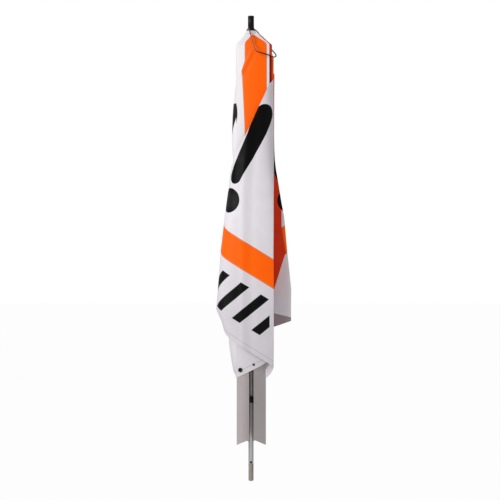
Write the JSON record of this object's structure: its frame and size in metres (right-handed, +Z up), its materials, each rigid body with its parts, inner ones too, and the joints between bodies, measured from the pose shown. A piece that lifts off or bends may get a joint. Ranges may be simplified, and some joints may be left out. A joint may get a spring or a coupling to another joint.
{
  "type": "portable warning sign",
  "caption": "Folded pop-up roadside warning sign: fluorescent and white cloth faces wrapped round angle-section legs that open like an umbrella from a crown on a central rod.",
  "frame": {"origin": "middle of the crown's top face, on the rod's axis, where the knob sits", "axes": "+Z up along the rod towards the knob; -Y towards the face that the picture shows; +X to its right"},
  "size_m": [0.1439, 0.1132, 0.8973],
  "materials": {
    "black_plastic": "satin black moulding",
    "dark_nylon": "satin dark grey moulding",
    "anodised_aluminium": "satin anodised extrusion",
    "plated_steel": "zinc plated",
    "beige_plug": "matt beige moulding",
    "cord": "woven cord",
    "orange_cloth": "coated fluorescent cloth",
    "white_cloth": "coated white cloth"
  },
  "bodies": {
    "crown": {"crown_hub": "black_plastic", "crown_cap": "white_cloth", "hinge_pin_front_left": "plated_steel", "hinge_pin_front_right": "plated_steel", "hinge_pin_rear": "plated_steel"},
    "rod": {"knob": "black_plastic", "knob_collar": "black_plastic", "centre_rod": "anodised_aluminium", "rod_tip": "beige_plug", "tip_rivet": "plated_steel", "strut_ring": "dark_nylon", "loop_band": "black_plastic", "carry_loop": "cord"},
    "leg_front_left": {"leg_front_left": "anodised_aluminium", "leg_top_front_left": "black_plastic", "strut_bracket_front_left": "dark_nylon", "strut_rivet_front_left": "plated_steel"},
    "strut_front_left": {"strut_front_left": "plated_steel"},
    "leg_front_right": {"leg_front_right": "anodised_aluminium", "leg_top_front_right": "black_plastic", "strut_bracket_front_right": "dark_nylon", "strut_rivet_front_right": "plated_steel", "front_right_half_lead": "orange_cloth", "right_left_half_lead": "orange_cloth"},
    "strut_front_right": {"strut_front_right": "plated_steel"},
    "leg_rear": {"leg_rear": "anodised_aluminium", "leg_top_rear": "black_plastic", "strut_bracket_rear": "dark_nylon", "strut_rivet_rear": "plated_steel"},
    "strut_rear": {"strut_rear": "plated_steel"},
    "front_left_half_strip_1": {"front_left_half_strip_1": "orange_cloth", "hem_stud": "black_plastic", "corner_stud": "black_plastic"},
    "front_left_half_strip_2": {"front_left_half_strip_2": "white_cloth"},
    "front_left_half_strip_3": {"front_left_half_strip_3": "white_cloth"},
    "front_right_half_strip_1": {"front_right_half_strip_1": "orange_cloth"},
    "front_right_half_strip_2": {"front_right_half_strip_2": "white_cloth"},
    "front_right_half_strip_3": {"front_right_half_strip_3": "white_cloth"},
    "right_left_half_strip_1": {"right_left_half_strip_1": "orange_cloth"},
    "right_left_half_strip_2": {"right_left_half_strip_2": "white_cloth"},
    "right_left_half_strip_3": {"right_left_half_strip_3": "white_cloth"},
    "right_right_half_strip_1": {"right_right_half_strip_1": "orange_cloth"},
    "right_right_half_strip_2": {"right_right_half_strip_2": "white_cloth"},
    "right_right_half_strip_3": {"right_right_half_strip_3": "white_cloth"},
    "left_right_half_strip_1": {"left_right_half_strip_1": "orange_cloth"},
    "left_right_half_strip_2": {"left_right_half_strip_2": "white_cloth"},
    "left_right_half_strip_3": {"left_right_half_strip_3": "white_cloth"},
    "left_left_half_strip_1": {"left_left_half_strip_1": "orange_cloth"},
    "left_left_half_strip_2": {"left_left_half_strip_2": "white_cloth"},
    "left_left_half_strip_3": {"left_left_half_strip_3": "white_cloth"}
  },
  "joints": [
    {"name": "open_leg_front_left", "type": "hinge", "parent": "crown", "child": "leg_front_left", "pos_m": [-0.01611, -0.01007, -0.03], "axis": [-0.5299, 0.848, 0], "range_deg": [0, 31]},
    {"name": "swing_strut_front_left", "type": "hinge", "parent": "leg_front_left", "child": "strut_front_left", "pos_m": [-0.00822, -0.01516, -0.46], "axis": [0.5299, -0.848, 0], "range_deg": [0, 93]},
    {"name": "open_leg_front_right", "type": "hinge", "parent": "crown", "child": "leg_front_right", "pos_m": [0.01678, -0.00892, -0.03], "axis": [-0.4695, -0.8829, 0], "range_deg": [0, 31], "deforming": ["front_right_half_lead", "right_left_half_lead"]},
    {"name": "swing_strut_front_right", "type": "hinge", "parent": "leg_front_right", "child": "strut_front_right", "pos_m": [0.01724, 0.00046, -0.46], "axis": [0.4695, 0.8829, 0], "range_deg": [0, 93]},
    {"name": "open_leg_rear", "type": "hinge", "parent": "crown", "child": "leg_rear", "pos_m": [-0.00066, 0.01899, -0.03], "axis": [0.9994, 0.0349, 0], "range_deg": [0, 31]},
    {"name": "swing_strut_rear", "type": "hinge", "parent": "leg_rear", "child": "strut_rear", "pos_m": [-0.00902, 0.01469, -0.46], "axis": [-0.9994, -0.0349, 0], "range_deg": [0, 93]},
    {"name": "slide_rod", "type": "slide", "parent": "crown", "child": "rod", "axis": [0, 0, 1], "range_m": [0, 0.19277]},
    {"name": "unfold_front_left_half_strip_1", "type": "hinge", "parent": "leg_front_left", "child": "front_left_half_strip_1", "pos_m": [-0.03092, -0.01474, -0.42], "axis": [0, 0, 1], "range_deg": [0, 4.91], "deforming": ["front_left_half_strip_1"]},
    {"name": "unfold_front_left_half_strip_2", "type": "hinge", "parent": "front_left_half_strip_1", "child": "front_left_half_strip_2", "pos_m": [0.04911, -0.02627, -0.42], "axis": [0, 0, 1], "range_deg": [0, 170.67], "deforming": ["front_left_half_strip_2"]},
    {"name": "unfold_front_left_half_strip_3", "type": "hinge", "parent": "front_left_half_strip_2", "child": "front_left_half_strip_3", "pos_m": [-0.04398, -0.02936, -0.42], "axis": [0, 0, -1], "range_deg": [0, 176.89], "deforming": ["front_left_half_strip_3"]},
    {"name": "unfold_front_right_half_strip_1", "type": "slide", "parent": "leg_front_right", "child": "front_right_half_strip_1", "axis": [-0.9697, 0.2443, 0], "range_m": [0, 0.06285], "deforming": ["front_right_half_strip_1"]},
    {"name": "unfold_front_right_half_strip_2", "type": "hinge", "parent": "front_right_half_strip_1", "child": "front_right_half_strip_2", "pos_m": [-0.02935, -0.04436, -0.42], "axis": [0, 0, 1], "range_deg": [0, 72.86], "deforming": ["front_right_half_strip_2"]},
    {"name": "unfold_front_right_half_strip_3", "type": "hinge", "parent": "front_right_half_strip_2", "child": "front_right_half_strip_3", "pos_m": [-0.06086, 0.02267, -0.42], "axis": [0, 0, 1], "range_deg": [0, 76.55], "deforming": ["front_right_half_strip_3"]},
    {"name": "unfold_right_left_half_strip_1", "type": "hinge", "parent": "leg_front_right", "child": "right_left_half_strip_1", "pos_m": [-0.012, -0.02246, -0.42], "axis": [0, 0, 1], "range_deg": [0, 57.4], "deforming": ["right_left_half_strip_1"]},
    {"name": "unfold_right_left_half_strip_2", "type": "hinge", "parent": "right_left_half_strip_1", "child": "right_left_half_strip_2", "pos_m": [0.07491, 0.03814, -0.42], "axis": [0, 0, -1], "range_deg": [0, 91.66], "deforming": ["right_left_half_strip_2"]},
    {"name": "unfold_right_left_half_strip_3", "type": "hinge", "parent": "right_left_half_strip_2", "child": "right_left_half_strip_3", "pos_m": [0.0084, 0.07386, -0.42], "axis": [0, 0, -1], "range_deg": [0, 52.09], "deforming": ["right_left_half_strip_3"]},
    {"name": "unfold_right_right_half_strip_1", "type": "hinge", "parent": "leg_rear", "child": "right_right_half_strip_1", "pos_m": [-0.00078, 0.03386, -0.42], "axis": [0, 0, -1], "range_deg": [0, 57.14], "deforming": ["right_right_half_strip_1"]},
    {"name": "unfold_right_right_half_strip_2", "type": "hinge", "parent": "right_right_half_strip_1", "child": "right_right_half_strip_2", "pos_m": [0.0528, 0.03585, -0.42], "axis": [0, 0, -1], "range_deg": [0, 176.3], "deforming": ["right_right_half_strip_2"]},
    {"name": "unfold_right_right_half_strip_3", "type": "hinge", "parent": "right_right_half_strip_2", "child": "right_right_half_strip_3", "pos_m": [-0.0425, 0.03683, -0.42], "axis": [0, 0, 1], "range_deg": [0, 178.84], "deforming": ["right_right_half_strip_3"]},
    {"name": "unfold_left_right_half_strip_1", "type": "hinge", "parent": "leg_front_left", "child": "left_right_half_strip_1", "pos_m": [-0.02956, -0.01729, -0.42], "axis": [0, 0, -1], "range_deg": [0, 24.65], "deforming": ["left_right_half_strip_1"]},
    {"name": "unfold_left_right_half_strip_2", "type": "hinge", "parent": "left_right_half_strip_1", "child": "left_right_half_strip_2", "pos_m": [-0.0422, 0.0531, -0.42], "axis": [0, 0, 1], "range_deg": [0, 90.61], "deforming": ["left_right_half_strip_2"]},
    {"name": "unfold_left_right_half_strip_3", "type": "hinge", "parent": "left_right_half_strip_2", "child": "left_right_half_strip_3", "pos_m": [0.05282, 0.04007, -0.42], "axis": [0, 0, -1], "range_deg": [0, 180], "deforming": ["left_right_half_strip_3"]},
    {"name": "unfold_left_left_half_strip_1", "type": "hinge", "parent": "leg_rear", "child": "left_left_half_strip_1", "pos_m": [-0.00136, 0.03349, -0.42], "axis": [0, 0, 1], "range_deg": [0, 57.8], "deforming": ["left_left_half_strip_1"]},
    {"name": "unfold_left_left_half_strip_2", "type": "hinge", "parent": "left_left_half_strip_1", "child": "left_left_half_strip_2", "pos_m": [-0.04693, 0.03568, -0.42], "axis": [0, 0, -1], "range_deg": [0, 179.76], "deforming": ["left_left_half_strip_2"]},
    {"name": "unfold_left_left_half_strip_3", "type": "hinge", "parent": "left_left_half_strip_2", "child": "left_left_half_strip_3", "pos_m": [0.05825, 0.03877, -0.42], "axis": [0, 0, -1], "range_deg": [0, 180], "deforming": ["left_left_half_strip_3"]}
  ],
  "couplings": [
    {"joint": "swing_strut_front_left", "follows": "open_leg_front_left", "ratio": 3},
    {"joint": "open_leg_front_right", "follows": "open_leg_front_left", "ratio": 1},
    {"joint": "swing_strut_front_right", "follows": "open_leg_front_left", "ratio": 3},
    {"joint": "open_leg_rear", "follows": "open_leg_front_left", "ratio": 1},
    {"joint": "swing_strut_rear", "follows": "open_leg_front_left", "ratio": 3},
    {"joint": "slide_rod", "follows": "open_leg_front_left", "m_per_rad": 0.35629},
    {"joint": "unfold_front_left_half_strip_1", "follows": "open_leg_front_left", "ratio": 0.15823},
    {"joint": "unfold_front_left_half_strip_2", "follows": "open_leg_front_left", "ratio": 5.5055},
    {"joint": "unfold_front_left_half_strip_3", "follows": "open_leg_front_left", "ratio": 5.7061},
    {"joint": "unfold_front_right_half_strip_1", "follows": "open_leg_front_left", "m_per_rad": 0.11615},
    {"joint": "unfold_front_right_half_strip_2", "follows": "open_leg_front_left", "ratio": 2.3503},
    {"joint": "unfold_front_right_half_strip_3", "follows": "open_leg_front_left", "ratio": 2.4693},
    {"joint": "unfold_right_left_half_strip_1", "follows": "open_leg_front_left", "ratio": 1.8517},
    {"joint": "unfold_right_left_half_strip_2", "follows": "open_leg_front_left", "ratio": 2.9567},
    {"joint": "unfold_right_left_half_strip_3", "follows": "open_leg_front_left", "ratio": 1.6802},
    {"joint": "unfold_right_right_half_strip_1", "follows": "open_leg_front_left", "ratio": 1.8433},
    {"joint": "unfold_right_right_half_strip_2", "follows": "open_leg_front_left", "ratio": 5.6872},
    {"joint": "unfold_right_right_half_strip_3", "follows": "open_leg_front_left", "ratio": 5.7689},
    {"joint": "unfold_left_right_half_strip_1", "follows": "open_leg_front_left", "ratio": 0.79513},
    {"joint": "unfold_left_right_half_strip_2", "follows": "open_leg_front_left", "ratio": 2.923},
    {"joint": "unfold_left_right_half_strip_3", "follows": "open_leg_front_left", "ratio": 5.8064},
    {"joint": "unfold_left_left_half_strip_1", "follows": "open_leg_front_left", "ratio": 1.8644},
    {"joint": "unfold_left_left_half_strip_2", "follows": "open_leg_front_left", "ratio": 5.7987},
    {"joint": "unfold_left_left_half_strip_3", "follows": "open_leg_front_left", "ratio": 5.8064}
  ]
}
